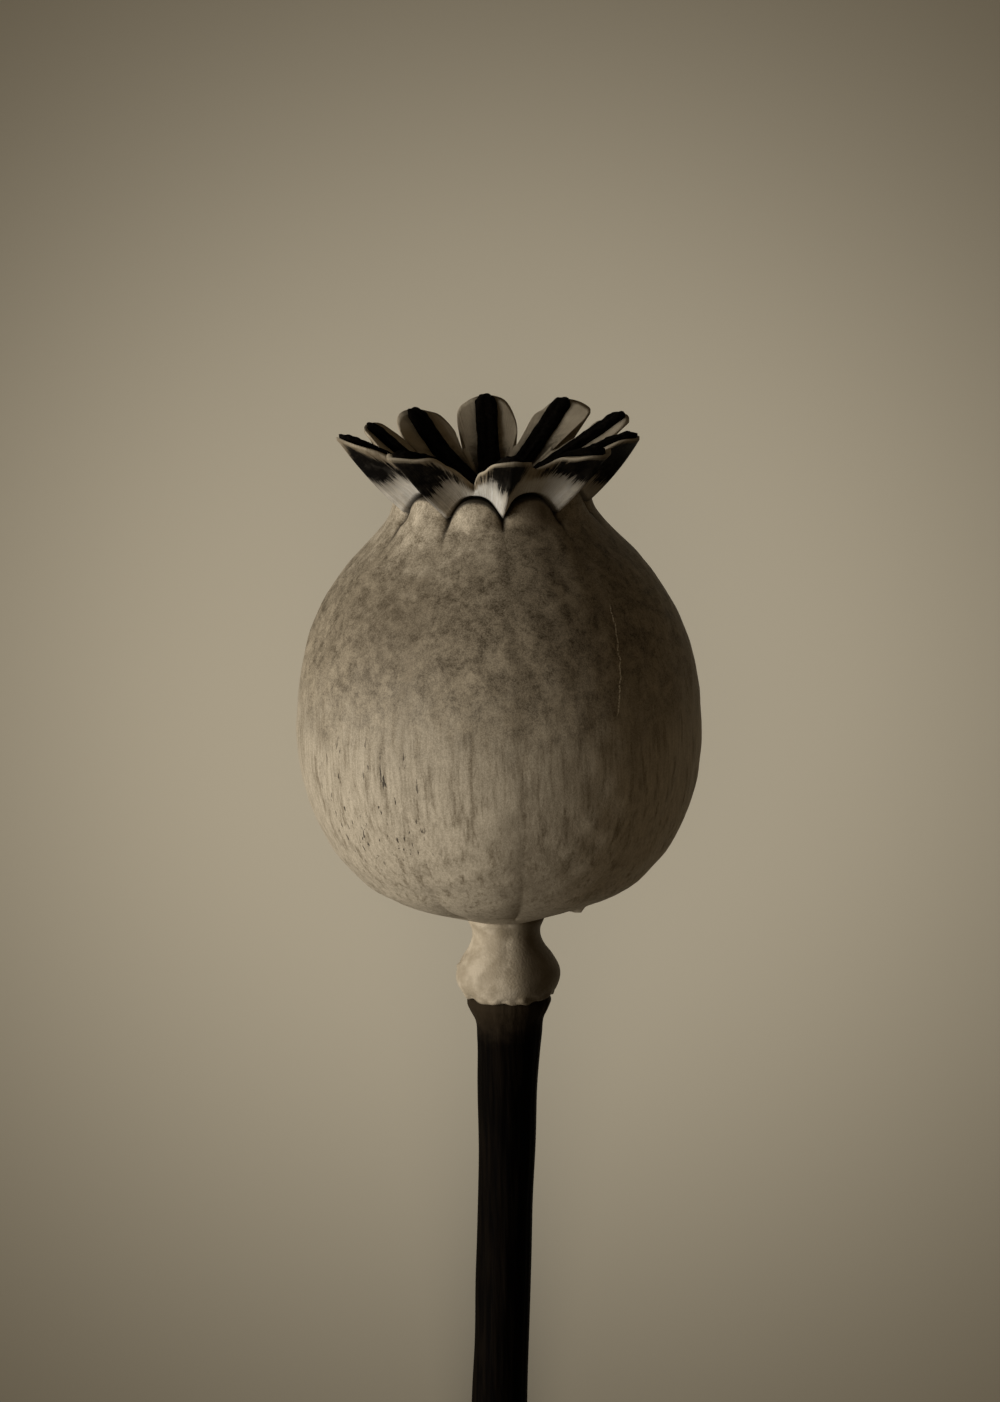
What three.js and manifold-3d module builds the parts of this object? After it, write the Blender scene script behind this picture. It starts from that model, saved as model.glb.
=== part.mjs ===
// A dried poppy seed head, cut with a length of its stem and lying on its side.
//
// The head is modelled upright along +Z, with the pod's flat base at height 0, and a group then
// lays it down. Bearings are in degrees round the head's axis: 0 faces -Y, the side that ends
// uppermost, and they grow towards +X. All lengths are in millimetres.
import * as THREE from "three";
import { mergeVertices } from "three/addons/utils/BufferGeometryUtils.js";
import Module from "manifold-3d";

const wasm = await Module();
wasm.setup();

const { clamp, degToRad, euclideanModulo, lerp, radToDeg } = THREE.MathUtils;

// The ten seams of the pod, from the front one towards +X. A valve lies between each two, and a
// lobe of the crown and a ray stand over each seam. As these grow, no two are quite alike:
//   bearing        where the seam is
//   lean           how far the lobe's tip swings round from its seam, in degrees
//   reach, rise    radius and height of the lobe's tip
//   before, after  half widths of the lobe on its side of lower and of higher bearings
//   curl           how much the lobe's side margins are bent up
//   notch          radius where the gap after the lobe ends
const SEAMS = [
  { bearing: 6.2, lean: 2.5, reach: 15.3, rise: 48.4, before: 2, after: 2.2, curl: 0.1, notch: 10.2 },
  { bearing: 41.5, lean: 5.5, reach: 15, rise: 47.8, before: 2.3, after: 2.6, curl: 0.3, notch: 8.6 },
  { bearing: 78.5, lean: 5.5, reach: 14.7, rise: 48, before: 2.5, after: 2.6, curl: 0.3, notch: 8.4 },
  { bearing: 115, lean: 1, reach: 15, rise: 49, before: 2.9, after: 1.9, curl: 0.2, notch: 8.4 },
  { bearing: 149, lean: 0, reach: 15.1, rise: 49.7, before: 3.6, after: 2.1, curl: 0, notch: 8.4 },
  { bearing: 181, lean: 0, reach: 13.8, rise: 50.2, before: 2.9, after: 2.9, curl: 0.3, notch: 8.4 },
  { bearing: 215.5, lean: 1, reach: 12.9, rise: 49.6, before: 2.9, after: 2.9, curl: 0.3, notch: 8.4 },
  { bearing: 252, lean: -2, reach: 12.8, rise: 49.2, before: 3, after: 2.8, curl: 0.2, notch: 8.4 },
  { bearing: 298, lean: -10, reach: 15.4, rise: 49.5, before: 2.6, after: 2.4, curl: 0, notch: 8.6 },
  { bearing: 333, lean: -9.5, reach: 15.3, rise: 48.6, before: 2.4, after: 2.1, curl: 0.3, notch: 8.6 },
];

// The pod.
const POD_COLUMNS_A_VALVE = 8;
const POD_WAIST = 19.4; // height of its widest level
const POD_HEIGHTS = [0, 0.8, 2.9, 6.4, 10.4, 14.4, 19.4, 24.4, 28.4, 32.4, 35.9, 38.9, 40.9, 42.4, 44.6];
const POD_RADII = [3.9, 6.2, 11.8, 15.9, 18.3, 19.5, 20, 19.6, 18.7, 16.9, 14.4, 11.6, 10, 9.3, 9];
const POD_LOWER_ROWS = 9;
const POD_UPPER_ROWS = 8;
const SHOULDER_HEIGHT = 40.6; // where the wall turns into the scalloped rim
const ARCH_FOOT = 41.75; // the rim's height on a seam
const ARCH_TOP = 43.65; // and on the middle of a valve

// The furrow down each seam: how deep it is at the waist, by the base and by the rim.
const FURROW_WAIST = 0.1;
const FURROW_BASE = 0.4;
const FURROW_RIM = 0.15;

// The crown: a shallow funnel with a lobe over each seam.
const CROWN_GAP = 0.4; // between the pod's rim and the crown
const FUNNEL_FLOOR = 41.1;
const FUNNEL_SLOPE = 0.541;
const FUNNEL_ROUNDING = 2; // radius over which the middle of the funnel is rounded
const DISC_THICKNESS = 1;
const FUNNEL_RADIUS = 8.4; // where the lobes begin to rise on their own
const LOBE_ROUNDING = 2.3; // length of a lobe's round end
const LOBE_EDGE = 0.65; // thickness of a lobe's edge
const KEEL_SAG = 0.25; // how far the underside of a lobe bellies
const KEEL_OVERHANG = 0.05; // how far the crown's foot stands out over the pod's rim
const TONGUE_SIDE_POINTS = 3;

// The rays, which lie on the crown's lobes.
const RAY_GAP = 0.3;
const RAY_HALF_WIDTH = 1.3;
const RAY_HEIGHT = 0.75;
const RAY_EDGE = 0.3; // height of a ray's side
const RAY_END = 0.4; // how far short of a lobe's tip a ray ends

// The swollen ring under the pod, with the neck above it, and the stem.
const RING_HEIGHTS = [-8.1, -7.2, -6, -4.4, -3.2, -1.5, -0.3];
const RING_RADII = [4.4, 4.95, 5.25, 4.6, 3.8, 3.45, 3.9];
const RING_COLUMNS = 40;
const RING_ROWS = 12;
const STEM_HEIGHTS = [-66, -40, -24, -16.5, -12.5, -10.6, -9.6, -8.9, -8.4];
const STEM_RADII = [2.8, 2.8, 2.87, 3.06, 3.26, 3.46, 3.95, 4.2, 4.1];
const STEM_COLUMNS = 20;
const STEM_ROWS = 22;
const STEM_BEND_SLOPE = 0.06; // how much the stem leans towards -X once it has bent
const STEM_BEND_LENGTH = 4; // the length over which it bends, under its collar

// The flat spots that the head and the stem's end rest on.
const REST_DEPTH = 0.3; // how much of the pod's roundness is flat
const FLOOR_SIZE = 400; // the side of the block that stands for the surface

// A surface with its shared corners merged and its empty triangles dropped.
function welded(geometry) {
  geometry.deleteAttribute("normal");
  geometry.deleteAttribute("uv");
  const merged = mergeVertices(geometry);
  const corners = Array.from(merged.getIndex().array);
  const kept = [];
  for (let first = 0; first < corners.length; first += 3) {
    const triangle = corners.slice(first, first + 3);
    if (new Set(triangle).size === 3) kept.push(...triangle);
  }
  merged.setIndex(kept);
  return merged;
}

// A closed skin round the head's axis. It is a lathe with one column for each bearing, and each
// column then takes its own profile: points of [radius, height, swing], from the axis below round
// to the axis above, where swing turns a point on from its column's bearing.
function loftAround(bearings, profileAt) {
  const profiles = bearings.map(profileAt);
  const rows = profiles[0].length;
  const outline = profiles[0].map(([radius, height]) => new THREE.Vector2(radius, height));
  const lathe = new THREE.LatheGeometry(outline, bearings.length);
  const position = lathe.getAttribute("position");
  for (let column = 0; column <= bearings.length; column += 1) {
    const wrapped = column % bearings.length;
    profiles[wrapped].forEach(([radius, height, swing = 0], row) => {
      const turn = degToRad(bearings[wrapped] + swing);
      position.setXYZ(column * rows + row, radius * Math.sin(turn), -radius * Math.cos(turn), height);
    });
  }
  return welded(lathe);
}

function evenBearings(count) {
  return Array.from({ length: count }, (_, column) => (column * 360) / count);
}

// The bearing of a seam, counted on past the last one into the next turn, or back before the first.
function seamBearing(index) {
  const turns = Math.floor(index / SEAMS.length);
  return SEAMS[euclideanModulo(index, SEAMS.length)].bearing + 360 * turns;
}

// A smooth curve of radius against height through a few measured levels.
function radiusCurve(heights, radii) {
  const curve = new THREE.CubicInterpolant(heights, radii, 1);
  return (height) => curve.evaluate(height)[0];
}

const podRadius = radiusCurve(POD_HEIGHTS, POD_RADII);
const ringRadius = radiusCurve(RING_HEIGHTS, RING_RADII);
const stemRadius = radiusCurve(STEM_HEIGHTS, STEM_RADII);

// How far a bearing is from the nearest seam: 0 on the seam, 1 on the middle of a valve.
function shareFromSeam(bearing) {
  const turned = seamBearing(0) + euclideanModulo(bearing - seamBearing(0), 360);
  const next = SEAMS.findIndex((_, index) => turned < seamBearing(index + 1)) + 1;
  const across = (turned - seamBearing(next - 1)) / (seamBearing(next) - seamBearing(next - 1));
  return 1 - Math.abs(2 * across - 1);
}

// The bearings of the pod's columns: every seam, and the same number of steps over each valve.
function podBearings() {
  return SEAMS.flatMap((_, index) =>
    Array.from({ length: POD_COLUMNS_A_VALVE }, (_unused, step) =>
      lerp(seamBearing(index), seamBearing(index + 1), step / POD_COLUMNS_A_VALVE),
    ),
  );
}

// The pod's rim, which arches up over each valve and comes to a point on each seam.
function rimHeight(bearing) {
  const towardsSeam = 1 - shareFromSeam(bearing);
  return lerp(ARCH_TOP, ARCH_FOOT, towardsSeam ** 2);
}

function furrow(bearing, height) {
  const byBase = Math.exp(-(((height - 3) / 4.5) ** 2));
  const byRim = Math.exp(-(((height - ARCH_FOOT) / 3.5) ** 2));
  const depth = FURROW_WAIST + FURROW_BASE * byBase + FURROW_RIM * byRim;
  return depth * (1 - shareFromSeam(bearing)) ** 3;
}

// The top of the crown's membrane, in the part that all lobes share.
function funnelTop(radius) {
  return FUNNEL_FLOOR + FUNNEL_SLOPE * Math.hypot(radius, FUNNEL_ROUNDING);
}

// The crown's underside where it lies over the pod: level with the rim, and then sloping down.
function discUnderside(radius, bearing) {
  return Math.min(rimHeight(bearing) + CROWN_GAP, funnelTop(radius) - DISC_THICKNESS);
}

// The radii of the rows on the pod's top and on the crown's underside.
const DISC_ROWS = [0, 2.2, 4.4, 6.4, 8.4];

function capsuleGeometry() {
  const heights = [];
  for (let row = 1; row <= POD_LOWER_ROWS; row += 1) {
    const angle = (row / POD_LOWER_ROWS) * (Math.PI / 2);
    heights.push(POD_WAIST * (1 - Math.cos(angle)));
  }
  for (let row = 1; row <= POD_UPPER_ROWS; row += 1) {
    const angle = (row / POD_UPPER_ROWS) * (Math.PI / 2);
    heights.push(lerp(POD_WAIST, SHOULDER_HEIGHT, Math.sin(angle)));
  }
  return loftAround(podBearings(), (bearing) => {
    const rim = rimHeight(bearing);
    const wall = [...heights, lerp(SHOULDER_HEIGHT, rim, 0.5), rim].map((height) => [
      podRadius(height) - furrow(bearing, height),
      height,
    ]);
    const top = DISC_ROWS.map((radius) => [radius, discUnderside(radius, bearing) - CROWN_GAP]);
    return [[0, 0], [podRadius(0), 0], ...wall, ...top.reverse()];
  });
}

// Half the outline of a tongue seen from above, as points of [sideways, outwards] from the middle
// of its tip round to where it meets the next tongue, at a turn of half the valve between them.
function tongueSide(reach, halfWidth, rounding, meeting, halfValve) {
  const points = [0, 0.28, 0.55, 0.8, 1].map((share) => {
    const angle = (share * Math.PI) / 2;
    return [halfWidth * Math.sin(angle), reach - rounding * (1 - Math.cos(angle))];
  });
  const root = [meeting * Math.sin(halfValve), meeting * Math.cos(halfValve)];
  for (let point = 1; point <= TONGUE_SIDE_POINTS; point += 1) {
    const share = point / TONGUE_SIDE_POINTS;
    points.push([lerp(halfWidth, root[0], share), lerp(reach - rounding, root[1], share)]);
  }
  return points.map(([sideways, outwards]) => ({
    turn: radToDeg(Math.atan2(sideways, outwards)),
    edge: Math.hypot(sideways, outwards),
  }));
}

// The columns of a star of tongues, one over each seam. A column has its bearing, its turn from
// the tongue's middle line, the radius of the star's edge there, the seam and the half width.
// sideOf gives half a tongue's outline for a seam, a half width, half the valve beside it and the
// radius of the notch there.
function starColumns(sideOf) {
  return SEAMS.flatMap((seam, index) => {
    const halfBefore = degToRad(seamBearing(index) - seamBearing(index - 1)) / 2;
    const halfAfter = degToRad(seamBearing(index + 1) - seamBearing(index)) / 2;
    const column = (turn, edge, halfWidth) => ({
      bearing: seam.bearing + turn, turn, edge, seam, halfWidth,
    });
    const notchBefore = SEAMS[euclideanModulo(index - 1, SEAMS.length)].notch;
    const before = sideOf(seam, seam.before, halfBefore, notchBefore).slice(1).reverse();
    const after = sideOf(seam, seam.after, halfAfter, seam.notch).slice(0, -1);
    return [
      ...before.map(({ turn, edge }) => column(-turn, edge, seam.before)),
      ...after.map(({ turn, edge }) => column(turn, edge, seam.after)),
    ];
  });
}

// How far out along its lobe a radius is: 0 where it leaves the funnel, 1 at the tip.
function shareAlongLobe(radius, seam) {
  return clamp((radius - FUNNEL_RADIUS) / (seam.reach - FUNNEL_RADIUS), 0, 1);
}

// A point of the crown's upper surface in a column, at a share of a radius, raised by lift.
function onCrown(column, radius, lift) {
  const { turn, seam, halfWidth } = column;
  const along = shareAlongLobe(radius, seam);
  const sideways = (radius * Math.sin(degToRad(turn))) / halfWidth;
  const shared = funnelTop(Math.min(radius, FUNNEL_RADIUS));
  const height = lerp(shared, seam.rise, along) + seam.curl * along * sideways ** 2;
  return [radius, height + lift, seam.lean * along];
}

function crownGeometry() {
  const columns = starColumns((seam, halfWidth, halfValve, notch) =>
    tongueSide(seam.reach, halfWidth, LOBE_ROUNDING, notch, halfValve),
  );
  return loftAround(columns.map(({ bearing }) => bearing), (bearing, index) => {
    const column = columns[index];
    const rim = rimHeight(bearing);
    const under = DISC_ROWS.map((radius) => [radius, discUnderside(radius, bearing)]);
    const foot = [podRadius(rim) + KEEL_OVERHANG, rim + CROWN_GAP, 0];
    const lowerEdge = onCrown(column, column.edge, -LOBE_EDGE);
    const keel = foot.map((value, axis) => lerp(value, lowerEdge[axis], 0.5));
    keel[1] -= KEEL_SAG * shareAlongLobe(column.edge, column.seam);
    const upper = [1, 0.8, 0.6, 0.4, 0.2, 0].map((share) => onCrown(column, column.edge * share, 0));
    return [...under, foot, keel, lowerEdge, ...upper];
  });
}

function raysGeometry() {
  const columns = starColumns((seam, _halfWidth, halfValve) => {
    const meeting = RAY_HALF_WIDTH / Math.sin(halfValve);
    const reach = seam.reach - RAY_END;
    return tongueSide(reach, RAY_HALF_WIDTH, RAY_HALF_WIDTH, meeting, halfValve);
  });
  return loftAround(columns.map(({ bearing }) => bearing), (_bearing, index) => {
    const column = columns[index];
    const point = (share, rise) => onCrown(column, column.edge * share, RAY_GAP + rise);
    const lower = [0, 0.25, 0.5, 0.75, 1].map((share) => point(share, 0));
    const upper = [0.92, 0.7, 0.45, 0.2, 0].map((share) => {
      const sideways = (column.edge * share * Math.sin(degToRad(column.turn))) / RAY_HALF_WIDTH;
      return point(share, lerp(RAY_EDGE, RAY_HEIGHT, Math.sqrt(clamp(1 - sideways ** 2, 0, 1))));
    });
    return [...lower, point(1, RAY_EDGE), ...upper];
  });
}

// A plain turned piece whose wall follows a radius curve between its lowest and highest level.
function turnedGeometry(heights, radiusAt, columns, rows) {
  const low = heights[0];
  const high = heights[heights.length - 1];
  const wall = Array.from({ length: rows + 1 }, (_, row) => {
    const height = lerp(low, high, row / rows);
    return [radiusAt(height), height];
  });
  return loftAround(evenBearings(columns), () => [[0, low], ...wall, [0, high]]);
}

// The stem's rows crowd together under the collar, where its radius changes most.
function stemGeometry() {
  const low = STEM_HEIGHTS[0];
  const high = STEM_HEIGHTS[STEM_HEIGHTS.length - 1];
  const wall = Array.from({ length: STEM_ROWS + 1 }, (_, row) => {
    const height = lerp(high, low, (1 - row / STEM_ROWS) ** 2);
    return [stemRadius(height), height];
  });
  const stem = loftAround(evenBearings(STEM_COLUMNS), () => [[0, low], ...wall, [0, high]]);
  const position = stem.getAttribute("position");
  for (let corner = 0; corner < position.count; corner += 1) {
    const below = Math.max(0, high - position.getZ(corner));
    const bend = STEM_BEND_SLOPE * (Math.hypot(below, STEM_BEND_LENGTH) - STEM_BEND_LENGTH);
    position.setX(corner, position.getX(corner) - bend);
  }
  return stem;
}

function asSolid(geometry) {
  const vertProperties = new Float32Array(geometry.getAttribute("position").array);
  const triVerts = new Uint32Array(geometry.getIndex().array);
  return new wasm.Manifold(new wasm.Mesh({ numProp: 3, vertProperties, triVerts }));
}

function asGeometry(solid) {
  const mesh = solid.getMesh();
  const geometry = new THREE.BufferGeometry();
  geometry.setAttribute("position", new THREE.BufferAttribute(mesh.vertProperties, 3));
  geometry.setIndex(new THREE.BufferAttribute(mesh.triVerts, 1));
  return geometry;
}

// The turn that lays the head down: its axis ends along +Y, with the crown raised by tilt.
function layingTurn(tilt) {
  return new THREE.Matrix4().makeRotationX(tilt - Math.PI / 2);
}

// How low a piece reaches once it is laid down.
function lowest(geometry, tilt) {
  const position = geometry.getAttribute("position");
  const corner = new THREE.Vector3();
  const turn = layingTurn(tilt);
  let low = Infinity;
  for (let index = 0; index < position.count; index += 1) {
    corner.fromBufferAttribute(position, index).applyMatrix4(turn);
    low = Math.min(low, corner.z);
  }
  return low;
}

// The tilt at which the pod's side and the stem's end reach equally low, found by halving.
function restingTilt(capsule, stem) {
  let flat = 0;
  let steep = degToRad(30);
  while (steep - flat > 1e-9) {
    const middle = (flat + steep) / 2;
    if (lowest(stem, middle) > lowest(capsule, middle)) flat = middle;
    else steep = middle;
  }
  return flat;
}

const capsule = capsuleGeometry();
const stem = stemGeometry();
const tilt = restingTilt(capsule, stem);
const floorHeight = lowest(capsule, tilt) + REST_DEPTH;

// The surface that the head lies on, as a block, turned back into the upright head's own frame.
const floorBlock = new THREE.BoxGeometry(FLOOR_SIZE, FLOOR_SIZE, FLOOR_SIZE);
floorBlock.translate(0, 0, floorHeight - FLOOR_SIZE / 2);
floorBlock.applyMatrix4(layingTurn(tilt).invert());
const floor = asSolid(welded(floorBlock));

function rested(geometry) {
  return asGeometry(asSolid(geometry).subtract(floor));
}

function piece(name, geometry, color, roughness) {
  geometry.computeVertexNormals();
  const material = new THREE.MeshStandardMaterial({ color, roughness, metalness: 0 });
  const mesh = new THREE.Mesh(geometry, material);
  mesh.name = name;
  return mesh;
}

const upright = new THREE.Group();
upright.add(piece("capsule", rested(capsule), 0x9a8f78, 0.8));
upright.add(piece("crown", crownGeometry(), 0x6b5b43, 0.75));
upright.add(piece("stigma_rays", raysGeometry(), 0x2a2015, 0.95));
const ring = turnedGeometry(RING_HEIGHTS, ringRadius, RING_COLUMNS, RING_ROWS);
upright.add(piece("receptacle", ring, 0xa89f88, 0.8));
upright.add(piece("stem", rested(stem), 0x33291a, 0.7));
upright.rotation.x = tilt - Math.PI / 2;

// The origin is under the middle of the whole head, on the surface that it lies on.
const seedHead = new THREE.Group();
seedHead.add(upright);
seedHead.updateMatrixWorld(true);
const middle = new THREE.Box3().setFromObject(seedHead, true).getCenter(new THREE.Vector3());
upright.position.set(-middle.x, -middle.y, -floorHeight);

export default seedHead;
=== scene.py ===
# %% [markdown]
# # A dried poppy seed head
#
# A poppy's seed head is a round pod with a crown of lobes on top, a swollen ring below it and a
# stem. Here it is cut and lies on its side on a pale floor. The packed solids give its size and
# its place, and this lesson models the visible piece for each of them. First the solids are
# loaded; the finished pieces have to stay in the box that they fill.

# %% Load the solids
import math

import bpy
import numpy as np
from mathutils import Matrix, Vector


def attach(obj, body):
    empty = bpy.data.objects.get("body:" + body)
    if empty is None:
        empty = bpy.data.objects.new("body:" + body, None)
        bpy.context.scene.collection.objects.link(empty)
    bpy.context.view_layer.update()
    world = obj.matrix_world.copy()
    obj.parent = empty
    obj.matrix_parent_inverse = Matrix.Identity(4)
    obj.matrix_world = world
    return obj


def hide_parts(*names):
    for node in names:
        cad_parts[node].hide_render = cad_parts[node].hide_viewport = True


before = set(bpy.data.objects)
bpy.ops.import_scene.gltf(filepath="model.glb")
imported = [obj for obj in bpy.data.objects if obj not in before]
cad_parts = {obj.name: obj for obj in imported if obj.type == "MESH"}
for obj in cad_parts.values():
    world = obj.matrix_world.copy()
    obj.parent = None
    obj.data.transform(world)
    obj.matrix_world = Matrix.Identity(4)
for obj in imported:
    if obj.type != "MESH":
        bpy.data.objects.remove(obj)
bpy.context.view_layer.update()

print("solids:", ", ".join(sorted(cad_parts)))

# %% [markdown]
# All the head's forms are measured from its own axis. So it is modelled upright, with that axis
# along Z and the pod's flat base at height 0, in millimetres, and the first thing needed is the
# turn that lays it down. The swollen ring under the pod is a plain turned solid, wider than it is
# tall, so the direction in which its corners spread least is the axis.

# %% Find the turn that lays the head down
MM = 0.001
NECK_TOP = -0.3  # height of the neck's top face, below the pod's base

ring_corners = np.array([corner.co[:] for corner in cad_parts["receptacle"].data.vertices])
ring_middle = ring_corners.mean(axis=0)
spreads, directions = np.linalg.eigh(np.cov((ring_corners - ring_middle).T))
head_axis = Vector(directions[:, 0])
if head_axis.y < 0:
    head_axis.negate()
reach_up = max((ring_corners - ring_middle) @ np.array(head_axis))
pod_base = Vector(ring_middle) + head_axis * (reach_up - NECK_TOP * MM)
tilt = math.atan2(head_axis.z, head_axis.y)
lay_down = Matrix.Translation(pod_base) @ Matrix.Rotation(tilt - math.pi / 2, 4, "X")
print(f"the head's axis rises {math.degrees(tilt):.2f} degrees, base at {tuple(pod_base)}")

# %% [markdown]
# Ten valves make up the pod, with a seam between each two, and over each seam stand a lobe of
# the crown and a ray. No two that grew are alike, so each seam has its own row of values.
# Bearings are degrees round the axis: 0 faces up once the head lies down, and they grow
# towards +X.

# %% List the ten seams
# Each lobe has its seam's bearing, the lean of its tip, its reach and rise, and how much it bows
# up on the way. Then, before and after the seam: its half width, the length of its round end,
# how late it flares towards the notch, how much of a neck it has, and the curl of its margin.
SEAMS = np.array([
    (6.2, 2.5, 15.3, 48.3, 0.3, 2.1, 2.4, 2.9, 4.0, 1.0, 1.0, 0.0, 0.0, -0.5, -0.4),
    (41.5, 5.5, 15.0, 47.8, 0.6, 2.3, 2.6, 2.8, 2.6, 1.4, 2.0, 0.0, 0.3, 0.2, 0.3),
    (78.5, 5.5, 14.7, 48.0, 0.4, 2.5, 2.6, 2.6, 2.6, 2.0, 2.0, 0.2, 0.6, 0.3, 0.1),
    (115.0, 1.0, 15.0, 49.0, 0.0, 2.9, 1.9, 2.4, 2.6, 3.0, 3.0, 1.0, 1.0, 0.0, 0.1),
    (149.0, 0.0, 15.1, 49.7, 0.0, 3.7, 2.1, 1.6, 2.8, 3.0, 3.0, 1.0, 1.0, -0.3, 0.0),
    (181.0, 0.0, 13.8, 50.2, 0.0, 3.0, 2.9, 3.6, 2.6, 3.0, 3.0, 1.0, 1.0, 0.0, 0.1),
    (215.5, 1.0, 12.9, 49.6, 0.0, 2.9, 3.3, 2.8, 2.6, 3.0, 3.0, 1.0, 1.0, 0.1, 0.0),
    (252.0, -2.0, 12.8, 49.2, 0.0, 3.0, 2.9, 2.6, 2.4, 3.0, 3.0, 1.0, 1.0, 0.1, 0.0),
    (298.0, -10.0, 15.4, 49.5, 0.2, 2.6, 2.4, 2.4, 2.4, 2.0, 2.0, 0.5, 0.2, -0.2, 0.2),
    (333.0, -9.5, 15.3, 48.6, 0.5, 2.4, 2.1, 2.6, 2.6, 2.0, 1.8, 0.0, 0.0, 0.2, 0.2),
])
SEAM_BEARING, LEAN, REACH, RISE, BOW = SEAMS.T[:5]
HALF_WIDTH, ROUND_END, FLARE, NECK, CURL = SEAMS[:, 5:].reshape(-1, 5, 2).transpose(1, 0, 2)
# over the valve after each seam: the radius where the gap between two lobes ends, and how far
# the membrane sags there
NOTCH_RADIUS = np.array([10.2, 8.6, 8.4, 8.4, 8.4, 8.4, 8.4, 8.4, 8.6, 8.8])
NOTCH_SAG = np.array([0.2, 0.6, 0.2, 0.0, 0.0, 0.0, 0.0, 0.2, 0.6, 0.95])
SEAM_COUNT = len(SEAMS)
LAP_BEARING = np.append(SEAM_BEARING, SEAM_BEARING[0] + 360)
VALVE_ARC = np.diff(LAP_BEARING)
print(SEAM_COUNT, "seams, with valves of", VALVE_ARC.round(1), "degrees")

# %% [markdown]
# The valves are of unequal width, so what a bearing means depends on its place between two
# seams. Every piece asks for that place here, and works on whole arrays of corners at once.

# %% Tell where a bearing is between its seams
def seam_before(bearing):
    """The seam that each bearing follows, and its share of the way from there to the next."""
    turned = SEAM_BEARING[0] + np.mod(bearing - SEAM_BEARING[0], 360)
    index = np.clip(np.searchsorted(LAP_BEARING, turned, side="right") - 1, 0, SEAM_COUNT - 1)
    share = (turned - LAP_BEARING[index]) / (LAP_BEARING[index + 1] - LAP_BEARING[index])
    return index, share


def nearest_seam(bearing):
    index, share = seam_before(bearing)
    return np.where(share < 0.5, index, index + 1) % SEAM_COUNT


def share_from_seam(bearing):
    """0 on a seam, and 1 on the middle of a valve."""
    return 1 - np.abs(2 * seam_before(bearing)[1] - 1)


def turn_from_front(bearing):
    """Degrees from bearing 0, negative on the left."""
    return (bearing + 180) % 360 - 180


print("a quarter of the way over valve 0:", share_from_seam(SEAM_BEARING[0] + VALVE_ARC[0] / 4))

# %% [markdown]
# An outline is measured at a few heights and joined by a smooth curve, as with a flexible ruler
# along marks. Smooth steps and bells then fade one form into the next.

# %% Make smooth curves, steps and bells
def smooth_curve(places, values):
    """A smooth curve through measured points, as a function that takes whole arrays."""
    places, values = np.array(places, float), np.array(values, float)
    slopes = np.gradient(values, places)

    def curve(place):
        place = np.clip(place, places[0], places[-1])
        index = np.clip(np.searchsorted(places, place, side="right") - 1, 0, len(places) - 2)
        span = places[index + 1] - places[index]
        t = (place - places[index]) / span
        start, end = values[index], values[index + 1]
        start_pull, end_pull = slopes[index] * span, slopes[index + 1] * span
        return (
            (2 * t**3 - 3 * t**2 + 1) * start + (t**3 - 2 * t**2 + t) * start_pull
            + (3 * t**2 - 2 * t**3) * end + (t**3 - t**2) * end_pull
        )

    return curve


def eased(value, start, end):
    """Goes smoothly from 0 at start to 1 at end."""
    share = np.clip((value - start) / (end - start), 0, 1)
    return share * share * (3 - 2 * share)


def bell(value, middle, width):
    """1 at the middle, and about a third at a width from it."""
    return np.exp(-(((value - middle) / width) ** 2))


print("a step at quarters:", eased(np.arange(5) / 4, 0, 1), "and a bell:", bell(1, 0, 1).round(2))

# %% [markdown]
# Growth and drying leave nothing quite even. A displacement texture could do that, but a sum of
# a few slow waves with seeded random directions needs none, and is the same on each run.

# %% Make soft uneven waves
WAVE_COUNT = 9


def waves(points, length, seed):
    """Unevenness from about -1 to 1 at each point, with waves of about this length."""
    draw = np.random.default_rng(seed)
    total = np.zeros(len(points))
    for _ in range(WAVE_COUNT):
        direction = draw.normal(size=3)
        direction /= np.linalg.norm(direction)
        pace = 2 * math.pi / (length * draw.uniform(0.7, 1.5))
        total += np.sin(points @ direction * pace + draw.uniform(0, 2 * math.pi))
    return total / math.sqrt(WAVE_COUNT)


print("waves 5 mm out along each axis:", waves(np.eye(3) * 5, 8, 1).round(2))

# %% [markdown]
# The pod, the ring with its neck and the stem are round. A spin would turn each in one go, but
# its columns would need merging where they meet. So each starts as a small disc whose edge is
# extruded level by level and resized, as on a lathe, which gives clean closed rings of corners.

# %% Turn a piece up from a disc
def deselect_everything():
    if bpy.context.object and bpy.context.object.mode != "OBJECT":
        bpy.ops.object.mode_set(mode="OBJECT")
    bpy.ops.object.select_all(action="DESELECT")


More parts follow.
